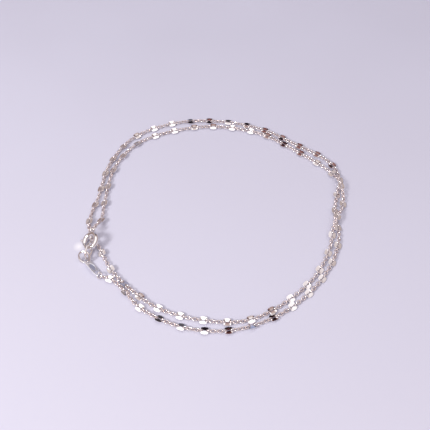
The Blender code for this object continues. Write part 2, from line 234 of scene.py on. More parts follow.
# Spring ring clasp, in the solid's own sizes: its case
CLASP_ACROSS = 0.0055
CLASP_TUBE = 0.00135
CLASP_BORE = 0.0008
CLASP_SIDES = 39
MOUTH_FROM = 202.0
MOUTH_SPAN = 36.0
MOUTH_TRIM_SPAN = 1.2
MOUTH_TRIMS_TO = 0.93
SLOT_HALF_SIDES = 4
EYE_HOLE = 0.0008
EYE_WIRE = 0.00044
EYE_SINK = 0.0002
EYE_STATIONS = 64
# Its bolt, with the lever's pin and knob
BOLT_WIRE = 0.0006
BOLT_END_SPAN = 1.0
BOLT_END_NARROWS_TO = 0.82
NOSE_SEAT = 8.0
LEVER_AT = 172.0
TAIL_SPAN = 50.0
PIN_ACROSS = 0.0004
KNOB_ACROSS = 0.00074
KNOB_CLEARANCE = 0.00006
TURN_CLEARANCE = 2.0
# Where it lies and how it leans
CLASP_AT = (-0.0344, -0.01045)
CLASP_LOWEST = 0.0001
CLASP_TILT = 33.3
CLASP_LEANS_TO = 195.4
CLASP_EYE_HEADING = 84.0

# Round wire, and how narrow it gets at a ring's soldered seam
WIRE_SIDES = 20
RING_STATIONS = 96
RING_SEAM_STATION = 38
RING_SEAM_NARROWS_TO = 0.9
# Rings by the solid that each stands for: its piece's name, length, width and wire
RINGS = {
    "connecting_ring": ("connecting_loop", 0.00554, 0.00398, 0.00054),
    "jump_ring": ("tag_jump_ring", 0.0037, 0.0037, 0.0006),
    "tag_link": ("tag_chain_ring", 0.00191, 0.00191, 0.00035),
    "eye_link": ("eye_chain_ring", 0.002, 0.002, 0.0004),
}
CONNECTING_TILT = 81.5
CONNECTING_LEANS_TO = -13.2
JUMP_TILT = 54.0
JUMP_LEANS_TO = 255.0

# End tag
TAG_LONG = 0.00636
TAG_WIDE = 0.0021
TAG_THICK = 0.0003
TAG_RIM = 0.0002
TAG_RECESS = 0.00005
TAG_HOLE = 0.00124
TAG_HOLE_EDGE = 0.00006
TAG_HOLE_STATIONS = 40
TAG_BEVEL = 0.00006
TAG_LENS_LONG = 0.0034
TAG_LENS_WIDE = 0.0015
TAG_LENS_EDGE = 0.0001
TAG_SHARP_EDGE = 20.0
TAG_HEADING = -49.6
TAG_ROLL = 25.7

# The camera, at the photograph's angle
CAMERA_AT = (-0.0003, -0.1132, 0.1501)
CAMERA_LOOKS_AT = (-0.0003, -0.0001, 0.0)
CAMERA_LENS = 55.2
CAMERA_SENSOR = 36.0
CAMERA_CLIP = 0.005

# The silvers: colour, tint, smoothest and roughest polish, grain to the metre, scratches, satin
SILVERS = {
    "wire_silver": ((0.95, 0.89, 0.875), (0.82, 0.73, 0.71), (0.14, 0.28), 900, 0.15, None),
    "petal_silver": ((0.97, 0.95, 0.95), (0.92, 0.90, 0.90), (0.03, 0.09), 700, 0.04, None),
    "clasp_polish": ((0.95, 0.94, 0.94), (0.90, 0.87, 0.86), (0.05, 0.13), 500, 0.06, None),
    "bolt_polish": ((0.92, 0.90, 0.90), (0.86, 0.83, 0.82), (0.08, 0.18), 600, 0.08, None),
    "ring_polish": ((0.94, 0.91, 0.90), (0.88, 0.84, 0.82), (0.06, 0.16), 600, 0.08, None),
    "tag_polish": ((0.93, 0.94, 0.97), (0.86, 0.88, 0.94), (0.06, 0.12), 500, 0.06, 0.36),
}
# The noise that polish and wear run over, the tint's share in tarnish, and tarnish's in the worn
POLISH_NOISE = (0.3, 0.7)
WEAR_NOISE = (0.42, 0.66)
WEAR_GRAIN = 0.3
TARNISH = (0.84, 0.77, 0.74)
TARNISH_SHARE = 0.5
# Scratches are long and fine, dents are broad; each has its grain as a share of the silver's
SCRATCH_GRAIN = 2.5
SCRATCH_STRETCH = (1.0, 9.0, 3.0)
SCRATCH_SHARE = 0.4
SCRATCH_DEEP = 0.00001
DENT_GRAIN = 0.8

# The table: half its width, its colour at the near and the far side, the far side darker with
# painted shade, and its blotches
TABLE_HALF = 1.5
TABLE_NEAR_Y = -0.06
TABLE_FAR_Y = 0.08
TABLE_NEAR_LIT = (0.625, 0.62, 0.73)
TABLE_FAR_SHADED = (0.54, 0.54, 0.65)
TABLE_BLOTCH = (0.60, 0.605, 0.73)
TABLE_BLOTCH_GRAIN = 14.0
TABLE_BLOTCH_SHARE = (0.35, 0.5)
TABLE_NOISE = (0.3, 0.7)
TABLE_GRAIN = 420.0
TABLE_GRAIN_STRENGTH = 0.2
TABLE_GRAIN_DEEP = 0.00002
TABLE_ROUGHNESS = (0.6, 0.8)
# Painted light: a glint that the clasp throws on the table beside it, painted into the table's
# colour
GLINT_AT = (-0.0377, -0.0110, 0.0)
GLINT_RADIUS = 0.0018
GLINT_SHARE = 0.6
GLINT_COLOUR = (0.97, 0.96, 0.97)

# The one lamp, a disc
LAMP_AT = (-0.34, -0.24, 0.34)
LAMP_ACROSS = 0.13
LAMP_POWER = 1.7
LAMP_COLOUR = (1.0, 0.97, 0.95)

# Where the room ahead of the camera and beside it starts and is in full, as a direction's share
ROOM_AHEAD = (0.15, 0.45)
ROOM_BESIDE = (0.20, 0.36)
# The room's colour by the height that a mirror sees, 0 level and 1 overhead: ahead of the
# camera, behind it and at both sides
ROOM_AHEAD_BANDS = (
    (0.00, (0.54, 0.53, 0.62)),
    (0.28, (0.44, 0.49, 0.74)),
    (0.44, (0.10, 0.09, 0.10)),
    (0.60, (0.014, 0.010, 0.014)),
    (0.715, (0.018, 0.009, 0.012)),
    (0.745, (0.12, 0.035, 0.035)),
    (0.775, (0.30, 0.14, 0.13)),
    (0.82, (0.62, 0.52, 0.50)),
    (0.865, (1.5, 1.46, 1.5)),
    (1.00, (1.7, 1.66, 1.72)),
)
ROOM_BEHIND_BANDS = (
    (0.0, (0.30, 0.25, 0.26)),
    (0.9, (1.25, 1.22, 1.28)),
)
ROOM_SIDE_BANDS = (
    (0.0, (0.30, 0.23, 0.22)),
    (0.3, (0.36, 0.28, 0.27)),
    (0.65, (0.66, 0.57, 0.56)),
    (0.8, (0.98, 0.92, 0.94)),
    (1.0, (1.6, 1.56, 1.62)),
)


def lying_height():
    return CHAIN_ACROSS / 2 + FLOOR_CLEARANCE


def middle_of(node):
    low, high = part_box(node)
    return (low + high) / 2


def smooth_curve(points):
    """Centripetal spline through every point, as closely spaced points."""
    ends = [2 * points[0] - points[1]], [2 * points[-1] - points[-2]]
    through = ends[0] + points + ends[1]
    curve = []
    for a, b, c, d in zip(through, through[1:], through[2:], through[3:]):
        ta = 0.0
        tb = ta + math.sqrt((b - a).length)
        tc = tb + math.sqrt((c - b).length)
        td = tc + math.sqrt((d - c).length)
        for step in range(STEPS_IN_A_SPAN):
            t = tb + (tc - tb) * step / STEPS_IN_A_SPAN
            ab = a.lerp(b, (t - ta) / (tb - ta))
            bc = b.lerp(c, (t - tb) / (tc - tb))
            cd = c.lerp(d, (t - tc) / (td - tc))
            abc = ab.lerp(bc, (t - ta) / (tc - ta))
            bcd = bc.lerp(cd, (t - tb) / (td - tb))
            curve.append(abc.lerp(bcd, (t - tb) / (tc - tb)))
    return curve + [points[-1]]


def beyond_ring(ring, toward):
    """Where a chain's end meets the round ring that it leads to."""
    centre = middle_of(ring)
    across = RINGS[ring][1]
    pull = (toward - centre).normalized()
    return centre + pull * (across / 2 + CHAIN_JOIN_GAP)


def chain_line():
    """The chain's middle line from the tag's ring to the clasp's, with its humps."""
    lying = [Vector((x, y, lying_height() + up)) for x, y, up in CHAIN_ROUTE]
    start = beyond_ring("tag_link", lying[0])
    finish = beyond_ring("eye_link", lying[-1])
    curve = smooth_curve([start] + lying + [finish])
    for point in curve[(FIRST_TURN_ENDS_AT + 1) * STEPS_IN_A_SPAN :]:
        away = min(math.dist(point.xy, crossing) for crossing in CROSSINGS)
        hump = math.exp(-((away / CROSSING_REACH) ** 2))
        point.z += (CHAIN_ACROSS + CROSSING_GAP) * hump
    return curve


class Line:
    """A curve that is read by the distance along it."""

    def __init__(self, points):
        self.points = np.array(points)
        steps = np.linalg.norm(np.diff(self.points, axis=0), axis=1)
        self.along = np.concatenate([[0.0], np.cumsum(steps)])

    def length(self):
        return self.along[-1]

    def at(self, distance):
        """The point that far along, past either end on a straight."""
        inside = min(max(distance, 0.0), self.length())
        spot = Vector(
            [np.interp(inside, self.along, self.points[:, k]) for k in range(3)]
        )
        if distance < 0:
            spot += Vector(self.points[0] - self.points[1]).normalized() * -distance
        if distance > self.length():
            past = distance - self.length()
            spot += Vector(self.points[-1] - self.points[-2]).normalized() * past
        return spot


def petal_distances():
    numbers = [number for number, _ in PETALS_LIE_AT]
    places = [place for _, place in PETALS_LIE_AT]
    return np.interp(np.arange(PETAL_ROUNDS), numbers, places)


def link_distances():
    """How far along the chain each link's middle is, small links and petal links alike."""
    petals = petal_distances()
    distances = [
        petals[0] - PETAL_PITCH - LINK_PITCH * k
        for k in reversed(range(SMALL_LINKS_BEFORE))
    ]
    nominal = 2 * PETAL_PITCH + LINK_PITCH * (SMALL_LINKS_BETWEEN - 1)
    for here, there in zip(petals, petals[1:]):
        slack = (there - here) / nominal
        distances.append(here)
        for k in range(SMALL_LINKS_BETWEEN):
            distances.append(here + slack * (PETAL_PITCH + LINK_PITCH * k))
    after = [petals[-1] + PETAL_PITCH + LINK_PITCH * k for k in range(SMALL_LINKS_AFTER)]
    return distances + [petals[-1]] + after


def is_petal(i):
    return (i - SMALL_LINKS_BEFORE) % (SMALL_LINKS_BETWEEN + 1) == 0


def petal_number(i):
    return (i - SMALL_LINKS_BEFORE) // (SMALL_LINKS_BETWEEN + 1)


def petal_turn_and_fold(number, tangent):
    """A petal link's turn about the chain and its fold: as listed, or by chance."""
    for listed, lean, fold in PETALS_LEAN:
        if listed == number:
            back = Vector((0, math.sin(math.radians(lean)), math.cos(math.radians(lean))))
            return turn_for_normal(tangent, back), fold
    chance = random.Random(number)
    turn = math.radians(chance.uniform(*SIDE_LEAN))
    return turn, chance.choice(SIDE_FOLDS)


def turn_for_normal(tangent, normal):
    """Turn about the tangent, from lying flat, that faces a link's flat side that way."""
    side = Vector((0, 0, 1)).cross(tangent).normalized()
    up = tangent.cross(side)
    return math.atan2(-normal.dot(side), normal.dot(up))


def seat_first_link(places, alongs):
    """Brings the first link's middle into the plane of the tag's ring, and eases the next ones."""
    normal = ring_normal("tag_link")
    lift = normal * (places[0] - middle_of("tag_link")).dot(normal)
    for k in range(END_LIFT_FADE):
        places[k] = places[k] - lift * (1 - k / END_LIFT_FADE)
    for k in range(END_LIFT_FADE):
        alongs[k] = (places[k + 1] - places[max(k - 1, 0)]).normalized()


def link_points():
    """Each link's middle, its direction, its turn about that and the shape that it has."""
    line = Line(chain_line())
    distances = link_distances()
    places = [line.at(distance) for distance in distances]
    turns = []
    shapes = []
    alongs = []
    petal_turns = {}
    for i, distance in enumerate(distances):
        tangent = (line.at(distance + MM / 2) - line.at(distance - MM / 2)).normalized()
        fold = PETAL_FOLDS[0]
        if is_petal(i):
            petal_turns[i], fold = petal_turn_and_fold(petal_number(i), tangent)
        alongs.append(tangent)
        shapes.append(PETAL_FOLDS.index(fold))
        turns.append(0.0)
    marks = sorted(petal_turns)
    values = [petal_turns[i] for i in marks]
    for i in range(len(distances)):
        across = 0.0 if (i - SMALL_LINKS_BEFORE) % 2 == 0 else math.pi / 2
        turns[i] = float(np.interp(i, marks, values)) + across
    seat_first_link(places, alongs)
    for end, ring, step in ((0, "tag_link", 1), (len(turns) - 1, "eye_link", -1)):
        tangent = (places[end + step] - places[end]).normalized() * step
        # The end link stands across the ring that it hooks into
        wanted = turn_for_normal(tangent, ring_normal(ring).cross(tangent))
        missing = (wanted - turns[end] + math.pi / 2) % math.pi - math.pi / 2
        for k in range(END_TURN_FADE):
            turns[end + step * k] += missing * (1 - k / END_TURN_FADE)
    return places, alongs, turns, shapes


def lean_axes(tilt, leans_to, heading=None):
    """Axes of a flat ring: z its normal, y in its plane over the heading, x across."""
    tilt = math.radians(tilt)
    leans_to = math.radians(leans_to)
    flat = Vector((math.cos(leans_to), math.sin(leans_to), 0.0))
    normal = flat * math.sin(tilt) + Vector((0.0, 0.0, math.cos(tilt)))
    over = leans_to if heading is None else math.radians(heading)
    along = Vector((math.cos(over), math.sin(over), 0.0))
    along.z = -along.dot(normal) / normal.z
    along.normalize()
    return along.cross(normal), along, normal


def place_of(centre, x_axis, y_axis, z_axis):
    turn = Matrix((x_axis, y_axis, z_axis)).transposed()
    return Matrix.Translation(centre) @ turn.to_4x4()


def ring_normal(ring):
    return piece_places()[ring].to_3x3().col[2]


def clasp_radius():
    return (CLASP_ACROSS - CLASP_TUBE) / 2


def eye_centre():
    eye_outer = EYE_HOLE / 2 + EYE_WIRE
    return Vector((0.0, CLASP_ACROSS / 2 + eye_outer - EYE_SINK, 0.0))


def tag_holes_apart():
    return TAG_LONG - 2 * (TAG_RIM + TAG_HOLE_EDGE) - TAG_HOLE


def piece_places():
    """Where each clasp piece lies, worked out as the part works it out."""
    places = {}
    axes = lean_axes(CLASP_TILT, CLASP_LEANS_TO, CLASP_EYE_HEADING)
    # The clasp's box also holds its eye, so its middle doesn't come from the box
    rise = clasp_radius() * math.sin(math.radians(CLASP_TILT))
    clasp = Vector((*CLASP_AT, CLASP_LOWEST + rise + CLASP_TUBE / 2))
    places["spring_ring"] = place_of(clasp, *axes)
    places["connecting_ring"] = place_of(
        middle_of("connecting_ring"), *lean_axes(CONNECTING_TILT, CONNECTING_LEANS_TO)
    )
    places["jump_ring"] = place_of(
        middle_of("jump_ring"), *lean_axes(JUMP_TILT, JUMP_LEANS_TO)
    )
    turn = math.radians(TAG_HEADING)
    along = Vector((math.cos(turn), math.sin(turn), 0.0))
    roll = Matrix.Rotation(-math.radians(TAG_ROLL), 3, along)
    side = roll @ Vector((0, 0, 1)).cross(along)
    places["end_tag"] = place_of(middle_of("end_tag"), along, side, along.cross(side))
    # The tag's ring leans as far as its height over the table says
    link = middle_of("tag_link")
    across, wire = RINGS["tag_link"][2:]
    slope = (link.z - FLOOR_CLEARANCE - wire / 2) / ((across - wire) / 2)
    tilt = math.degrees(math.asin(min(1.0, slope)))
    places["tag_link"] = place_of(link, *lean_axes(tilt, TAG_HEADING - 90))
    eye = places["spring_ring"] @ eye_centre()
    pull = (middle_of("eye_link") - eye).normalized()
    across = axes[0] - pull * axes[0].dot(pull)
    across.normalize()
    places["eye_link"] = place_of(
        middle_of("eye_link"), across, pull, across.cross(pull)
    )
    return places


def mesh_object(name, bm, sharp=SHARP_EDGE, place=None):
    """A closed mesh in its place, with the object itself at the origin."""
    if place is not None:
        bm.transform(place)
    bmesh.ops.recalc_face_normals(bm, faces=bm.faces)
    mesh = bpy.data.meshes.new(name)
    bm.to_mesh(mesh)
    bm.free()
    mesh.shade_smooth()
    mesh.set_sharp_from_angle(angle=math.radians(sharp))
    obj = bpy.data.objects.new(name, mesh)
    bpy.context.scene.collection.objects.link(obj)
    return obj


def petal_outline():
    """The whole link's stations, mirrored from its quarter: x, y and half width."""
    quarter = list(PETAL_QUARTER)
    half = quarter + [(-x, y, wide) for x, y, wide in reversed(quarter)]
    return half + [(x, -y, wide) for x, y, wide in reversed(half[1:-1])]


def petal_link(fold, sides=PETAL_WIRE_SIDES):
    """One link whose two long sides are pressed into petals, folded along the slit."""
    bm = bmesh.new()
    rings = []
    outline = petal_outline()
    for i, (x, y, wide) in enumerate(outline):
        before = outline[i - 1]
        after = outline[(i + 1) % len(outline)]
        out = Vector((after[1] - before[1], before[0] - after[0], 0.0)).normalized()
        pressed = (wide - LINK_WIRE / 2) / (PETAL_HALF_WIDE - LINK_WIRE / 2)
        pressed = min(1.0, max(0.0, pressed * PETAL_FLAT_SOONER))
        thick = LINK_WIRE / 2 + (PETAL_THICK / 2 - LINK_WIRE / 2) * pressed
        ring = []
        for k in range(sides):
            a = math.tau * (k + 0.5) / sides
            # A pressed section is a flat strip with round edges
            across = math.cos(a)
            up = math.sin(a)
            square = max(abs(across), abs(up)) ** pressed
            edge = 1.0 - PETAL_EDGE_THINS_BY * pressed * abs(across)
            spot = Vector((x, y, 0.0)) + out * (across / square * wide)
            spot.z = up / square * thick * edge
            spot.z += math.tan(math.radians(fold)) * (PETAL_FOLD_LINE - abs(spot.y)) * pressed
            ring.append(bm.verts.new(spot))
        rings.append(ring)
    for i in range(len(rings)):
        here = rings[i]
        there = rings[(i + 1) % len(rings)]
        for k in range(sides):
            m = (k + 1) % sides
            bm.faces.new((here[k], here[m], there[m], there[k]))
    return mesh_object(f"petal_link_{PETAL_FOLDS.index(fold)}", bm, sharp=PETAL_SHARP_EDGE)


def new_node(tree, kind, **settings):
    node = tree.nodes.new(kind)
    for name, value in settings.items():
        setattr(node, name, value)
    return node


def chain_tree():
    """Places a link on every point of a path: small links of wire, or petal links."""
    tree = bpy.data.node_groups.new("links_on_a_path", "GeometryNodeTree")
    face = tree.interface
    face.new_socket("Path", in_out="INPUT", socket_type="NodeSocketGeometry")
    for name, kind in (
        ("Petals", "NodeSocketBool"),
        ("Petal Shapes", "NodeSocketCollection"),
        ("Links a Round", "NodeSocketInt"),
        ("First Petal", "NodeSocketInt"),
        ("Link Long", "NodeSocketFloat"),
        ("Link Wide", "NodeSocketFloat"),
        ("Wire", "NodeSocketFloat"),
        ("Turn Jitter", "NodeSocketFloat"),
        ("Seed", "NodeSocketInt"),
        ("Finish", "NodeSocketMaterial"),
    ):
        face.new_socket(name, in_out="INPUT", socket_type=kind)
    face.new_socket("Links", in_out="OUTPUT", socket_type="NodeSocketGeometry")
    join = tree.links.new
    given = new_node(tree, "NodeGroupInput").outputs
    result = new_node(tree, "NodeGroupOutput")

    def maths(operation, first, second):
        node = new_node(tree, "ShaderNodeMath", operation=operation)
        for socket, value in zip(node.inputs, (first, second)):
            if isinstance(value, (int, float)):
                socket.default_value = value
            else:
                join(value, socket)
        return node.outputs[0]

    # The small link: an oval of round wire
    oval = new_node(tree, "GeometryNodeCurvePrimitiveCircle")
    oval.inputs["Resolution"].default_value = LINK_STATIONS
    oval.inputs["Radius"].default_value = 1.0
    size = new_node(tree, "ShaderNodeCombineXYZ")
    for socket, across in zip(size.inputs, ("Link Long", "Link Wide")):
        join(maths("MULTIPLY", maths("SUBTRACT", given[across], given["Wire"]), 0.5), socket)
    size.inputs[2].default_value = 1.0
    shaped = new_node(tree, "GeometryNodeTransform")
    join(oval.outputs["Curve"], shaped.inputs["Geometry"])
    join(size.outputs[0], shaped.inputs["Scale"])
    section = new_node(tree, "GeometryNodeCurvePrimitiveCircle")
    section.inputs["Resolution"].default_value = LINK_WIRE_SIDES
    join(maths("MULTIPLY", given["Wire"], 0.5), section.inputs["Radius"])
    small = new_node(tree, "GeometryNodeCurveToMesh")
    join(shaped.outputs["Geometry"], small.inputs["Curve"])
    join(section.outputs["Curve"], small.inputs["Profile Curve"])

    petals = new_node(tree, "GeometryNodeCollectionInfo")
    join(given["Petal Shapes"], petals.inputs["Collection"])
    petals.inputs["Separate Children"].default_value = True
    petals.inputs["Reset Children"].default_value = True

    # Where each link lies and how it faces
    path = new_node(tree, "GeometryNodeMeshToCurve")
    join(given["Path"], path.inputs["Mesh"])
    points = new_node(tree, "GeometryNodeCurveToPoints", mode="EVALUATED")
    join(path.outputs["Curve"], points.inputs["Curve"])
    facing = new_node(tree, "FunctionNodeAxesToRotation", primary_axis="X", secondary_axis="Z")
    along = new_node(tree, "GeometryNodeInputNamedAttribute", data_type="FLOAT_VECTOR")
    along.inputs["Name"].default_value = "along"
    join(along.outputs["Attribute"], facing.inputs["Primary Axis"])
    facing.inputs["Secondary Axis"].default_value = (0.0, 0.0, 1.0)
    turn = new_node(tree, "GeometryNodeInputNamedAttribute", data_type="FLOAT")
    turn.inputs["Name"].default_value = "turn"
    jitter = new_node(tree, "FunctionNodeRandomValue", data_type="FLOAT")
    join(maths("MULTIPLY", given["Turn Jitter"], -1.0), jitter.inputs["Min"])
    join(given["Turn Jitter"], jitter.inputs["Max"])
    join(given["Seed"], jitter.inputs["Seed"])
    random_turn = [out for out in jitter.outputs if out.enabled][0]
    turned = maths("ADD", turn.outputs["Attribute"], random_turn)
    spin = new_node(tree, "ShaderNodeCombineXYZ")
    join(turned, spin.inputs[0])
    spin_rotation = new_node(tree, "FunctionNodeEulerToRotation")
    join(spin.outputs[0], spin_rotation.inputs[0])
    face_all = new_node(tree, "FunctionNodeRotateRotation", rotation_space="LOCAL")
    join(facing.outputs[0], face_all.inputs["Rotation"])
    join(spin_rotation.outputs[0], face_all.inputs["Rotate By"])

    # Every so many links, a petal link
    index = new_node(tree, "GeometryNodeInputIndex").outputs[0]
    since_petal = maths("SUBTRACT", index, given["First Petal"])
    no_minus = maths("ADD", since_petal, given["Links a Round"])
    rounds = maths("MODULO", no_minus, given["Links a Round"])
    at_petal = new_node(tree, "FunctionNodeCompare", data_type="FLOAT", operation="LESS_THAN")
    join(rounds, at_petal.inputs[0])
    at_petal.inputs[1].default_value = 0.5
    wanted = new_node(tree, "FunctionNodeBooleanMath", operation="XNOR")
    join(at_petal.outputs[0], wanted.inputs[0])
    join(given["Petals"], wanted.inputs[1])
    shape = new_node(tree, "GeometryNodeInputNamedAttribute", data_type="INT")
    shape.inputs["Name"].default_value = "shape"
    stamp = new_node(tree, "GeometryNodeSwitch", input_type="GEOMETRY")
    join(given["Petals"], stamp.inputs["Switch"])
    join(small.outputs["Mesh"], stamp.inputs["False"])
    join(petals.outputs[0], stamp.inputs["True"])
    placed = new_node(tree, "GeometryNodeInstanceOnPoints")
    join(points.outputs["Points"], placed.inputs["Points"])
    join(wanted.outputs[0], placed.inputs["Selection"])
    join(stamp.outputs[0], placed.inputs["Instance"])
    join(given["Petals"], placed.inputs["Pick Instance"])
    join([out for out in shape.outputs if out.enabled][0], placed.inputs["Instance Index"])
    join(face_all.outputs[0], placed.inputs["Rotation"])
    realised = new_node(tree, "GeometryNodeRealizeInstances")
    join(placed.outputs[0], realised.inputs[0])
    finished = new_node(tree, "GeometryNodeSetMaterial")
    join(realised.outputs[0], finished.inputs["Geometry"])
    join(given["Finish"], finished.inputs["Material"])
    join(finished.outputs[0], result.inputs[0])
    return tree


def made_by_tree(name, path, tree, values):
    """The plain mesh that a tree makes on the path."""
    guide = bpy.data.objects.new(name + "_path", path)
    bpy.context.scene.collection.objects.link(guide)
    modifier = guide.modifiers.new("links", "NODES")
    modifier.node_group = tree
    for item in tree.interface.items_tree:
        if item.item_type == "SOCKET" and item.name in values:
            modifier[item.identifier] = values[item.name]
    graph = bpy.context.evaluated_depsgraph_get()
    mesh = bpy.data.meshes.new_from_object(guide.evaluated_get(graph))
    mesh.name = name
    mesh.shade_smooth()
    guide.modifiers.remove(modifier)
    bpy.data.objects.remove(guide)
    obj = bpy.data.objects.new(name, mesh)
    bpy.context.scene.collection.objects.link(obj)
    return obj


def chain_pieces(wire_finish, petal_finish):
    places, alongs, turns, shapes = link_points()
    shapes_collection = bpy.data.collections.new("petal_shapes")
    for fold in PETAL_FOLDS:
        shape = petal_link(fold)
        bpy.context.scene.collection.objects.unlink(shape)
        shapes_collection.objects.link(shape)
    path = bpy.data.meshes.new("chain_path")
    path.from_pydata(places, [(i, i + 1) for i in range(len(places) - 1)], [])
    path.attributes.new("turn", "FLOAT", "POINT").data.foreach_set("value", turns)
    along = path.attributes.new("along", "FLOAT_VECTOR", "POINT")
    along.data.foreach_set("vector", [value for row in alongs for value in row])
    path.attributes.new("shape", "INT", "POINT").data.foreach_set("value", shapes)
    tree = chain_tree()
    shared = {
        "Petal Shapes": shapes_collection,
        "Links a Round": SMALL_LINKS_BETWEEN + 1,
        "First Petal": SMALL_LINKS_BEFORE,
        "Link Long": LINK_LONG,
        "Link Wide": LINK_WIDE,
        "Wire": LINK_WIRE,
    }
    links = made_by_tree(
        "small_links",
        path,
        tree,
        {
            **shared,
            "Petals": False,
            "Turn Jitter": math.radians(LINK_TURN_JITTER),
            "Seed": LINK_SEED,
            "Finish": wire_finish,
        },
    )
    petals = made_by_tree(
        "petal_links",
        path,
        tree,
        {
            **shared,
            "Petals": True,
            "Turn Jitter": 0.0,
            "Seed": PETAL_SEED,
            "Finish": petal_finish,
        },
    )
    for shape in list(shapes_collection.objects):
        bpy.data.objects.remove(shape)
    bpy.data.collections.remove(shapes_collection)
    for piece in (links, petals):
        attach(piece, "necklace")
        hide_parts("chain_first_turn", "chain_second_turn")


def on_circle(radius, degrees):
    turn = math.radians(degrees)
    return Vector((radius * math.cos(turn), radius * math.sin(turn), 0.0))


def whole_circle(radius, count):
    return [on_circle(radius, 360 * i / count) for i in range(count)]


def wire_along(bm, points, thick, sides=WIRE_SIDES, closed=True, narrowed=None):
    """Round wire along a path in the local XY plane, narrowed by a share at each point."""
    count = len(points)
    rings = []
    for i, point in enumerate(points):
        before = points[i - 1] if closed or i > 0 else point
        after = points[(i + 1) % count] if closed or i + 1 < count else point
        out = (after - before).cross(Vector((0, 0, 1))).normalized()
        radius = thick / 2 * (narrowed[i] if narrowed else 1.0)
        rings.append(
            [
                bm.verts.new(
                    point
                    + out * (radius * math.cos(math.tau * k / sides))
                    + Vector((0, 0, radius * math.sin(math.tau * k / sides)))
                )
                for k in range(sides)
            ]
        )
    for i in range(count if closed else count - 1):
        here = rings[i]
        there = rings[(i + 1) % count]
        for k in range(sides):
            m = (k + 1) % sides
            bm.faces.new((here[k], here[m], there[m], there[k]))
    if not closed:
        bm.faces.new(rings[0])
        bm.faces.new(rings[-1])


def wire_ring(node, place, finish):
    """A ring of round wire whose cut ends meet in a fine seam."""
    name, long, wide, wire = RINGS[node]
    bm = bmesh.new()
    a = (long - wire) / 2
    b = (wide - wire) / 2
    points = []
    for i in range(RING_STATIONS):
        t = math.tau * i / RING_STATIONS
        points.append(Vector((a * math.cos(t), b * math.sin(t), 0.0)))
    narrowed = [1.0] * RING_STATIONS
    narrowed[RING_SEAM_STATION] = RING_SEAM_NARROWS_TO
    wire_along(bm, points, wire, narrowed=narrowed)
    ring = mesh_object(name, bm, place=place)
    ring.data.materials.append(finish)
    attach(ring, "necklace")
    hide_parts(node)


def stations_between(marks, step=3.0):
    """Angles from the first mark to the last that touch every mark."""
    angles = [marks[0]]
    for low, high in zip(marks, marks[1:]):
        steps = max(1, math.ceil((high - low) / step))
        angles += [low + (high - low) * (i + 1) / steps for i in range(steps)]
    return angles


def lever_travel():
    return MOUTH_SPAN + NOSE_SEAT + TURN_CLEARANCE


def pin_half_angle():
    return math.degrees(math.asin(PIN_ACROSS / 2 / clasp_radius())) + TURN_CLEARANCE


def clasp_case(place, finish):
    """The hollow ring: wall cells round a bore that is filled where no bolt runs."""
    sides = CLASP_SIDES
    slot_cells = [k % sides for k in range(-SLOT_HALF_SIDES, SLOT_HALF_SIDES + 1)]
    mouth_to = MOUTH_FROM + MOUTH_SPAN
    seat_end = mouth_to + NOSE_SEAT + TURN_CLEARANCE
    tail_end = LEVER_AT - TAIL_SPAN - lever_travel() - TURN_CLEARANCE + 360
    slot_from = LEVER_AT - lever_travel() - pin_half_angle() + 360
    slot_to = LEVER_AT + pin_half_angle() + 360
    angles = stations_between(
        (
            mouth_to,
            mouth_to + MOUTH_TRIM_SPAN,
            seat_end,
            tail_end,
            slot_from,
            slot_to,
            MOUTH_FROM + 360 - MOUTH_TRIM_SPAN,
            MOUTH_FROM + 360,
        )
    )
    bm = bmesh.new()
    points = {}

    def corner(radius, i, k):
        key = (radius, i, k % sides)
        if key not in points:
            turn = math.tau * (k - 0.5) / sides
            trimmed = radius
            if radius > CLASP_BORE / 2 and i in (0, len(angles) - 1):
                trimmed = radius * MOUTH_TRIMS_TO
            out = clasp_radius() + trimmed * math.cos(turn)
            spot = on_circle(out, angles[i])
            spot.z = trimmed * math.sin(turn)
            points[key] = bm.verts.new(spot)
        return points[key]

    def middle(i):
        return (angles[i] + angles[i + 1]) / 2

    def filled(i):
        return 0 <= i < len(angles) - 1 and seat_end < middle(i) < tail_end

    def walled(i, k):
        if not 0 <= i < len(angles) - 1:
            return False
        in_slot = (k % sides) in slot_cells
        return not (in_slot and slot_from < middle(i) < slot_to)

    outer = CLASP_TUBE / 2
    bore = CLASP_BORE / 2
    for i in range(len(angles) - 1):
        for k in range(sides):
            if not walled(i, k):
                continue
            shells = (outer,) if filled(i) else (outer, bore)
            for radius in shells:
                loop = (
                    corner(radius, i, k),
                    corner(radius, i, k + 1),
                    corner(radius, i + 1, k + 1),
                    corner(radius, i + 1, k),
                )
                bm.faces.new(loop)
            for side, edge in ((k - 1, k), (k + 1, k + 1)):
                if not walled(i, side):
                    bm.faces.new(
                        (
                            corner(outer, i, edge),
                            corner(outer, i + 1, edge),
                            corner(bore, i + 1, edge),
                            corner(bore, i, edge),
                        )
                    )
            for beyond, end in ((i - 1, i), (i + 1, i + 1)):
                if not walled(beyond, k):
                    bm.faces.new(
                        (
                            corner(outer, end, k),
                            corner(outer, end, k + 1),
                            corner(bore, end, k + 1),
                            corner(bore, end, k),
                        )
                    )
        if filled(i):
            for beyond, end in ((i - 1, i), (i + 1, i + 1)):
                if not filled(beyond):
                    bm.faces.new([corner(bore, end, k) for k in range(sides)])
    case = mesh_object("clasp_case", bm, place=place)

    eye = bmesh.new()
    wire_along(eye, whole_circle((EYE_HOLE + EYE_WIRE) / 2, EYE_STATIONS), EYE_WIRE)
    eye.transform(Matrix.Translation(eye_centre()) @ Matrix.Rotation(math.radians(90), 4, "Y"))
    weld(case, mesh_object("clasp_eye", eye, place=place))
    case.data.materials.append(finish)
    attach(case, "necklace")
    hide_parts("spring_ring")


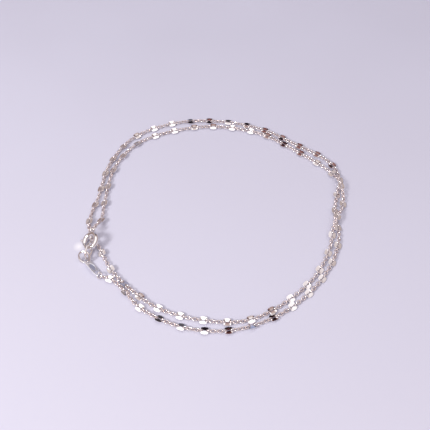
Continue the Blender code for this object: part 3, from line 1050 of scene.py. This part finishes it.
def weld(obj, other):
    """Joins another closed shape onto the object and removes it."""
    solder = obj.modifiers.new("solder", "BOOLEAN")
    solder.operation = "UNION"
    solder.solver = "EXACT"
    solder.object = other
    graph = bpy.context.evaluated_depsgraph_get()
    mesh = bpy.data.meshes.new_from_object(obj.evaluated_get(graph))
    obj.modifiers.remove(solder)
    obj.data = mesh
    mesh.shade_smooth()
    mesh.set_sharp_from_angle(angle=math.radians(SHARP_EDGE))
    bpy.data.objects.remove(other)


def clasp_bolt(place, finish):
    """The sprung wire that closes the mouth, with the lever's pin and knob on it."""
    radius = clasp_radius()
    tail = LEVER_AT - TAIL_SPAN
    nose = MOUTH_FROM + MOUTH_SPAN + NOSE_SEAT
    bm = bmesh.new()
    angles = stations_between((tail, tail + BOLT_END_SPAN, nose - BOLT_END_SPAN, nose))
    points = [on_circle(radius, angle) for angle in angles]
    narrowed = [1.0] * len(angles)
    for end in (0, -1):
        narrowed[end] = BOLT_END_NARROWS_TO
    wire_along(bm, points, BOLT_WIRE, closed=False, narrowed=narrowed)
    bolt = mesh_object("sprung_bolt", bm, place=place)
    knob_out = CLASP_ACROSS / 2 + KNOB_CLEARANCE + KNOB_ACROSS / 2
    pin = bmesh.new()
    bmesh.ops.create_cone(
        pin,
        cap_ends=True,
        segments=24,
        radius1=PIN_ACROSS / 2,
        radius2=PIN_ACROSS / 2,
        depth=knob_out - radius,
    )
    pin.transform(Matrix.Rotation(math.radians(90), 4, "Y"))
    pin.transform(Matrix.Translation(Vector(((knob_out + radius) / 2, 0.0, 0.0))))
    pin.transform(Matrix.Rotation(math.radians(LEVER_AT), 4, "Z"))
    weld(bolt, mesh_object("lever_pin", pin, place=place))
    knob = bmesh.new()
    bmesh.ops.create_uvsphere(knob, u_segments=32, v_segments=20, radius=KNOB_ACROSS / 2)
    knob.transform(Matrix.Translation(on_circle(knob_out, LEVER_AT)))
    weld(bolt, mesh_object("lever_knob", knob, place=place))
    bolt.data.materials.append(finish)
    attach(bolt, "bolt")
    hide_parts("clasp_bolt")


def tag_outline(long, wide, arc_points=24):
    """A plate's outline: two straight sides and two round ends, as a list of x and y."""
    radius = wide / 2
    middle = long / 2 - radius
    outline = []
    for end in (1, -1):
        for i in range(arc_points):
            turn = math.pi * (i / (arc_points - 1) - 0.5)
            outline.append(
                (
                    end * (middle + radius * math.cos(turn)),
                    end * radius * math.sin(turn),
                )
            )
    return outline


def lens_outline(long, wide, points=48):
    """Two arcs that meet in a point at each end."""
    outline = []
    for i in range(points):
        turn = math.tau * i / points
        bulge = math.sin(turn) * abs(math.sin(turn))
        outline.append((long / 2 * math.cos(turn), wide / 2 * bulge))
    return outline


def end_tag(place, finish):
    """The blank plate: satin round a polished lens-shaped field, a hole at each end."""
    bm = bmesh.new()
    satin = bm.verts.layers.float.new("satin")

    def ring_of(outline, height, share=1.0):
        ring = [bm.verts.new((x, y, height)) for x, y in outline]
        for corner in ring:
            corner[satin] = share
        return ring

    def bridge(first, second):
        for i in range(len(first)):
            j = (i + 1) % len(first)
            bm.faces.new((first[i], first[j], second[j], second[i]))

    holes = []
    for side in (-1, 1):
        middle = Vector((side * tag_holes_apart() / 2, 0.0, 0.0))
        spots = [middle + spot for spot in whole_circle(TAG_HOLE / 2, TAG_HOLE_STATIONS)]
        holes.append([(spot.x, spot.y) for spot in spots])
    rims = []
    mouths = []
    for face in (-1, 1):
        top = face * TAG_THICK / 2
        floor = face * (TAG_THICK / 2 - TAG_RECESS)
        outside = ring_of(tag_outline(TAG_LONG, TAG_WIDE), face * (TAG_THICK / 2 - TAG_BEVEL))
        upper = ring_of(tag_outline(TAG_LONG - 2 * TAG_BEVEL, TAG_WIDE - 2 * TAG_BEVEL), top)
        lens = ring_of(lens_outline(TAG_LENS_LONG, TAG_LENS_WIDE), top)
        field = ring_of(
            lens_outline(TAG_LENS_LONG - 3 * TAG_LENS_EDGE, TAG_LENS_WIDE - 2 * TAG_LENS_EDGE),
            floor,
            0.0,
        )
        openings = [ring_of(hole, top) for hole in holes]
        bridge(outside, upper)
        bridge(lens, field)
        bm.faces.new(field)
        edges = []
        for loop in (upper, lens, *openings):
            for i in range(len(loop)):
                pair = (loop[i], loop[(i + 1) % len(loop)])
                edges.append(bm.edges.get(pair) or bm.edges.new(pair))
        bmesh.ops.triangle_fill(bm, use_beauty=True, edges=edges)
        rims.append(outside)
        mouths.append(openings)
    bridge(*rims)
    for lower, upper in zip(*mouths):
        bridge(lower, upper)
    tag = mesh_object("blank_tag", bm, sharp=TAG_SHARP_EDGE, place=place)
    tag.data.materials.append(finish)
    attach(tag, "necklace")
    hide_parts("end_tag")


def colour_mix(tree, share, first, second):
    """A mix of two colours, each a value or a socket."""
    node = new_node(tree, "ShaderNodeMix", data_type="RGBA")
    sockets = [socket for socket in node.inputs if socket.type == "RGBA"]
    tree.links.new(share, node.inputs["Factor"])
    for socket, value in zip(sockets, (first, second)):
        if isinstance(value, tuple):
            socket.default_value = (*value, 1.0)
        else:
            tree.links.new(value, socket)
    return [socket for socket in node.outputs if socket.type == "RGBA"][0]


def noise(tree, where, scale, detail, stretch=(1.0, 1.0, 1.0)):
    spread = new_node(tree, "ShaderNodeMapping")
    spread.inputs["Scale"].default_value = stretch
    tree.links.new(where, spread.inputs["Vector"])
    cloud = new_node(tree, "ShaderNodeTexNoise")
    cloud.inputs["Scale"].default_value = scale
    cloud.inputs["Detail"].default_value = detail
    tree.links.new(spread.outputs["Vector"], cloud.inputs["Vector"])
    return cloud.outputs["Fac"]


def mapped(tree, value, low, high, to_low, to_high):
    node = new_node(tree, "ShaderNodeMapRange")
    tree.links.new(value, node.inputs["Value"])
    for name, number in (
        ("From Min", low),
        ("From Max", high),
        ("To Min", to_low),
        ("To Max", to_high),
    ):
        node.inputs[name].default_value = number
    return node.outputs["Result"]


def silver(name):
    """Polished silver whose colour, polish, fine scratches and dents vary over it."""
    colour, tint, roughness, scale, scratch, satin = SILVERS[name]
    material = bpy.data.materials.new(name)
    material.use_nodes = True
    tree = material.node_tree
    join = tree.links.new
    shader = tree.nodes["Principled BSDF"]
    shader.inputs["Metallic"].default_value = 1.0
    where = new_node(tree, "ShaderNodeTexCoord").outputs["Object"]
    cloud = noise(tree, where, scale, 4.0)
    wear = noise(tree, where, scale * WEAR_GRAIN, 3.0)
    worn = mapped(tree, wear, *WEAR_NOISE, 0.0, TARNISH_SHARE)
    plain = colour_mix(tree, cloud, colour, tint)
    tarnish = tuple(channel * share for channel, share in zip(tint, TARNISH))
    join(colour_mix(tree, worn, plain, tarnish), shader.inputs["Base Color"])
    polish = mapped(tree, cloud, *POLISH_NOISE, *roughness)
    if satin is not None:
        part = new_node(tree, "ShaderNodeAttribute", attribute_name="satin")
        rougher = new_node(tree, "ShaderNodeMath", operation="MULTIPLY_ADD")
        join(part.outputs["Fac"], rougher.inputs[0])
        rougher.inputs[1].default_value = satin
        join(polish, rougher.inputs[2])
        polish = rougher.outputs[0]
    join(polish, shader.inputs["Roughness"])
    lines = noise(tree, where, scale * SCRATCH_GRAIN, 2.0, SCRATCH_STRETCH)
    dents = noise(tree, where, scale * DENT_GRAIN, 2.0)
    height = new_node(tree, "ShaderNodeMath", operation="MULTIPLY_ADD")
    join(lines, height.inputs[0])
    height.inputs[1].default_value = SCRATCH_SHARE
    join(dents, height.inputs[2])
    bump = new_node(tree, "ShaderNodeBump")
    bump.inputs["Strength"].default_value = scratch
    bump.inputs["Distance"].default_value = SCRATCH_DEEP
    join(height.outputs[0], bump.inputs["Height"])
    join(bump.outputs["Normal"], shader.inputs["Normal"])
    return material


def table_finish():
    """A matt pale table with a fine even grain: painted shade darkens its colour a little to the
    far side, and a painted glint lies beside the clasp.
    """
    material = bpy.data.materials.new("pale_table")
    material.use_nodes = True
    tree = material.node_tree
    join = tree.links.new
    shader = tree.nodes["Principled BSDF"]
    where = new_node(tree, "ShaderNodeTexCoord").outputs["Object"]
    parts = new_node(tree, "ShaderNodeSeparateXYZ")
    join(where, parts.inputs[0])
    # painted shade: the table's colour darkens from the near side to the far side
    far = mapped(tree, parts.outputs["Y"], TABLE_NEAR_Y, TABLE_FAR_Y, 0.0, 1.0)
    blotches = noise(tree, where, TABLE_BLOTCH_GRAIN, 2.0)
    broad = mapped(tree, blotches, *TABLE_NOISE, 0.0, 1.0)
    painted_shade_tone = colour_mix(tree, far, TABLE_NEAR_LIT, TABLE_FAR_SHADED)
    cloudy = colour_mix(tree, broad, painted_shade_tone, TABLE_BLOTCH)
    grain = mapped(tree, noise(tree, where, TABLE_GRAIN, 3.0), *TABLE_NOISE, 0.0, 1.0)
    patches = mapped(tree, grain, 0.0, 1.0, *TABLE_BLOTCH_SHARE)
    patchy = colour_mix(tree, patches, painted_shade_tone, cloudy)
    # painted glint: the table's colour turns near white in a soft spot beside the clasp
    apart = new_node(tree, "ShaderNodeVectorMath", operation="DISTANCE")
    join(where, apart.inputs[0])
    apart.inputs[1].default_value = GLINT_AT
    glint = mapped(tree, apart.outputs["Value"], 0.0, GLINT_RADIUS, GLINT_SHARE, 0.0)
    join(colour_mix(tree, glint, patchy, GLINT_COLOUR), shader.inputs["Base Color"])
    join(mapped(tree, grain, 0.0, 1.0, *TABLE_ROUGHNESS), shader.inputs["Roughness"])
    bump = new_node(tree, "ShaderNodeBump")
    bump.inputs["Strength"].default_value = TABLE_GRAIN_STRENGTH
    bump.inputs["Distance"].default_value = TABLE_GRAIN_DEEP
    join(grain, bump.inputs["Height"])
    join(bump.outputs["Normal"], shader.inputs["Normal"])
    return material


def table(finish):
    mesh = bpy.data.meshes.new("table_top")
    half = TABLE_HALF
    mesh.from_pydata(
        [(-half, -half, 0), (half, -half, 0), (half, half, 0), (-half, half, 0)],
        [],
        [(0, 1, 2, 3)],
    )
    obj = bpy.data.objects.new("table_top", mesh)
    bpy.context.scene.collection.objects.link(obj)
    mesh.materials.append(finish)


def aimed_object(name, data, at, looks_at):
    """A lamp or a camera at one point that looks at another."""
    obj = bpy.data.objects.new(name, data)
    obj.location = at
    aim = Vector(looks_at) - Vector(at)
    obj.rotation_euler = aim.to_track_quat("-Z", "Y").to_euler()
    bpy.context.scene.collection.objects.link(obj)
    return obj


def lamp():
    data = bpy.data.lights.new("key", "AREA")
    data.shape = "DISK"
    data.size = LAMP_ACROSS
    data.energy = LAMP_POWER
    data.color = LAMP_COLOUR
    aimed_object("key", data, LAMP_AT, (0.0, 0.0, 0.0))


def height_ramp(tree, height, bands):
    ramp = new_node(tree, "ShaderNodeValToRGB")
    elements = ramp.color_ramp.elements
    elements[0].position = bands[0][0]
    elements[0].color = (*bands[0][1], 1.0)
    elements[1].position = bands[-1][0]
    elements[1].color = (*bands[-1][1], 1.0)
    for position, colour in bands[1:-1]:
        elements.new(position).color = (*colour, 1.0)
    tree.links.new(height, ramp.inputs["Fac"])
    return ramp.outputs["Color"]


def room():
    """The room that the silver mirrors: bright above, dark ahead, beige at the sides."""
    world = bpy.data.worlds.new("room")
    bpy.context.scene.world = world
    world.use_nodes = True
    tree = world.node_tree
    join = tree.links.new
    back = tree.nodes["Background"]
    parts = new_node(tree, "ShaderNodeSeparateXYZ")
    join(new_node(tree, "ShaderNodeTexCoord").outputs["Generated"], parts.inputs[0])
    height = parts.outputs["Z"]
    sideways = new_node(tree, "ShaderNodeMath", operation="ABSOLUTE")
    join(parts.outputs["X"], sideways.inputs[0])
    ahead = mapped(tree, parts.outputs["Y"], *ROOM_AHEAD, 0.0, 1.0)
    beside = mapped(tree, sideways.outputs[0], *ROOM_BESIDE, 0.0, 1.0)
    near = height_ramp(tree, height, ROOM_BEHIND_BANDS)
    far = height_ramp(tree, height, ROOM_AHEAD_BANDS)
    sides = height_ramp(tree, height, ROOM_SIDE_BANDS)
    before_and_behind = colour_mix(tree, ahead, near, far)
    join(colour_mix(tree, beside, before_and_behind, sides), back.inputs["Color"])


def camera():
    data = bpy.data.cameras.new("camera")
    data.lens = CAMERA_LENS
    data.sensor_width = CAMERA_SENSOR
    data.clip_start = CAMERA_CLIP
    bpy.context.scene.camera = aimed_object("camera", data, CAMERA_AT, CAMERA_LOOKS_AT)


def dress():
    """Every piece of the necklace, each in its silver."""
    finishes = {name: silver(name) for name in SILVERS}
    places = piece_places()
    chain_pieces(finishes["wire_silver"], finishes["petal_silver"])
    clasp_case(places["spring_ring"], finishes["clasp_polish"])
    clasp_bolt(places["spring_ring"], finishes["bolt_polish"])
    for node in RINGS:
        wire_ring(node, places[node], finishes["ring_polish"])
    end_tag(places["end_tag"], finishes["tag_polish"])


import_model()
camera()
dress()
table(table_finish())
room()
lamp()
bpy.context.scene.view_settings.view_transform = "Standard"
